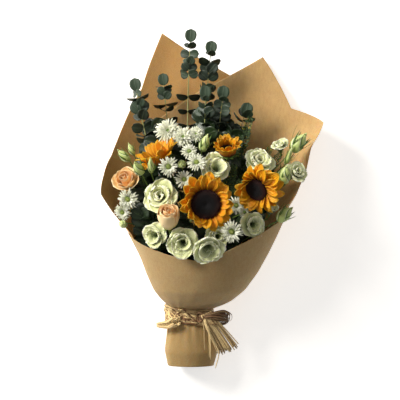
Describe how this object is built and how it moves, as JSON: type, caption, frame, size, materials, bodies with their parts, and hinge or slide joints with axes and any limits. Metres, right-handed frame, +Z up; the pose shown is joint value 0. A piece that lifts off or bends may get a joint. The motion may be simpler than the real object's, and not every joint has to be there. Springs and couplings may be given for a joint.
{
  "type": "sunflower bouquet",
  "caption": "Hand-tied bouquet of sunflowers, roses, lisianthus, spray chrysanthemums and eucalyptus, in a kraft-paper wrap with a raffia tie, lying on its back.",
  "frame": {"origin": "on the surface that the bouquet lies on, at the middle of the flat of the paper's back, below the flowers", "axes": "+Y from the cut stem ends to the leaf tips, +X to the right seen from above with the stem ends nearest, +Z up through the flowers"},
  "size_m": [0.4128, 0.6415, 0.1957],
  "materials": {
    "kraft_paper": "matte",
    "raffia": "matte",
    "sunflower_petals": "satin",
    "sunflower_seeds": "matte",
    "lisianthus_petals": "satin",
    "rose_petals": "satin",
    "chrysanthemum_petals": "satin",
    "green_stems": "satin",
    "eucalyptus_leaves": "matte",
    "fern_leaves": "matte",
    "dark_leaves": "matte"
  },
  "bodies": {
    "root": {"chrysanthemum_back_stem": "green_stems", "chrysanthemum_centre_heads": "chrysanthemum_petals", "chrysanthemum_front_heads": "chrysanthemum_petals", "chrysanthemum_inner_heads": "chrysanthemum_petals", "chrysanthemum_left_heads": "chrysanthemum_petals", "chrysanthemum_left_stem": "green_stems", "chrysanthemum_middle_heads": "chrysanthemum_petals", "chrysanthemum_middle_stem": "green_stems", "chrysanthemum_right_heads": "chrysanthemum_petals", "chrysanthemum_right_stem": "green_stems", "chrysanthemum_top_heads": "chrysanthemum_petals", "dark_leaves": "dark_leaves", "eucalyptus_left": "eucalyptus_leaves", "eucalyptus_middle": "eucalyptus_leaves", "eucalyptus_right": "eucalyptus_leaves", "eucalyptus_second": "eucalyptus_leaves", "eucalyptus_short": "eucalyptus_leaves", "eucalyptus_tall": "eucalyptus_leaves", "eucalyptus_third": "eucalyptus_leaves", "fern_back": "fern_leaves", "fern_middle": "fern_leaves", "fern_right": "fern_leaves", "lisianthus_10_bloom": "lisianthus_petals", "lisianthus_11_bloom": "lisianthus_petals", "lisianthus_1_bloom": "lisianthus_petals", "lisianthus_2_bloom": "lisianthus_petals", "lisianthus_3_bloom": "lisianthus_petals", "lisianthus_4_bloom": "lisianthus_petals", "lisianthus_5_bloom": "lisianthus_petals", "lisianthus_6_bloom": "lisianthus_petals", "lisianthus_7_bloom": "lisianthus_petals", "lisianthus_8_bloom": "lisianthus_petals", "lisianthus_9_bloom": "lisianthus_petals", "lisianthus_back_left_stem": "green_stems", "lisianthus_back_right_stem": "green_stems", "lisianthus_front_right_stem": "green_stems", "lisianthus_front_stem": "green_stems", "lisianthus_left_stem": "green_stems", "lisianthus_middle_stem": "green_stems", "lisianthus_right_stem": "green_stems", "raffia_tie": "raffia", "rose_front_bloom": "rose_petals", "rose_front_stem": "green_stems", "rose_left_bloom": "rose_petals", "rose_left_stem": "green_stems", "sunflower_centre_disc": "sunflower_seeds", "sunflower_centre_rays": "sunflower_petals", "sunflower_centre_stem": "green_stems", "sunflower_left_disc": "sunflower_seeds", "sunflower_left_rays": "sunflower_petals", "sunflower_left_stem": "green_stems", "sunflower_right_disc": "sunflower_seeds", "sunflower_right_rays": "sunflower_petals", "sunflower_right_stem": "green_stems", "sunflower_top_disc": "sunflower_seeds", "sunflower_top_rays": "sunflower_petals", "sunflower_top_stem": "green_stems", "wrap_back_left": "kraft_paper", "wrap_back_right": "kraft_paper", "wrap_front": "kraft_paper"}
  },
  "joints": []
}
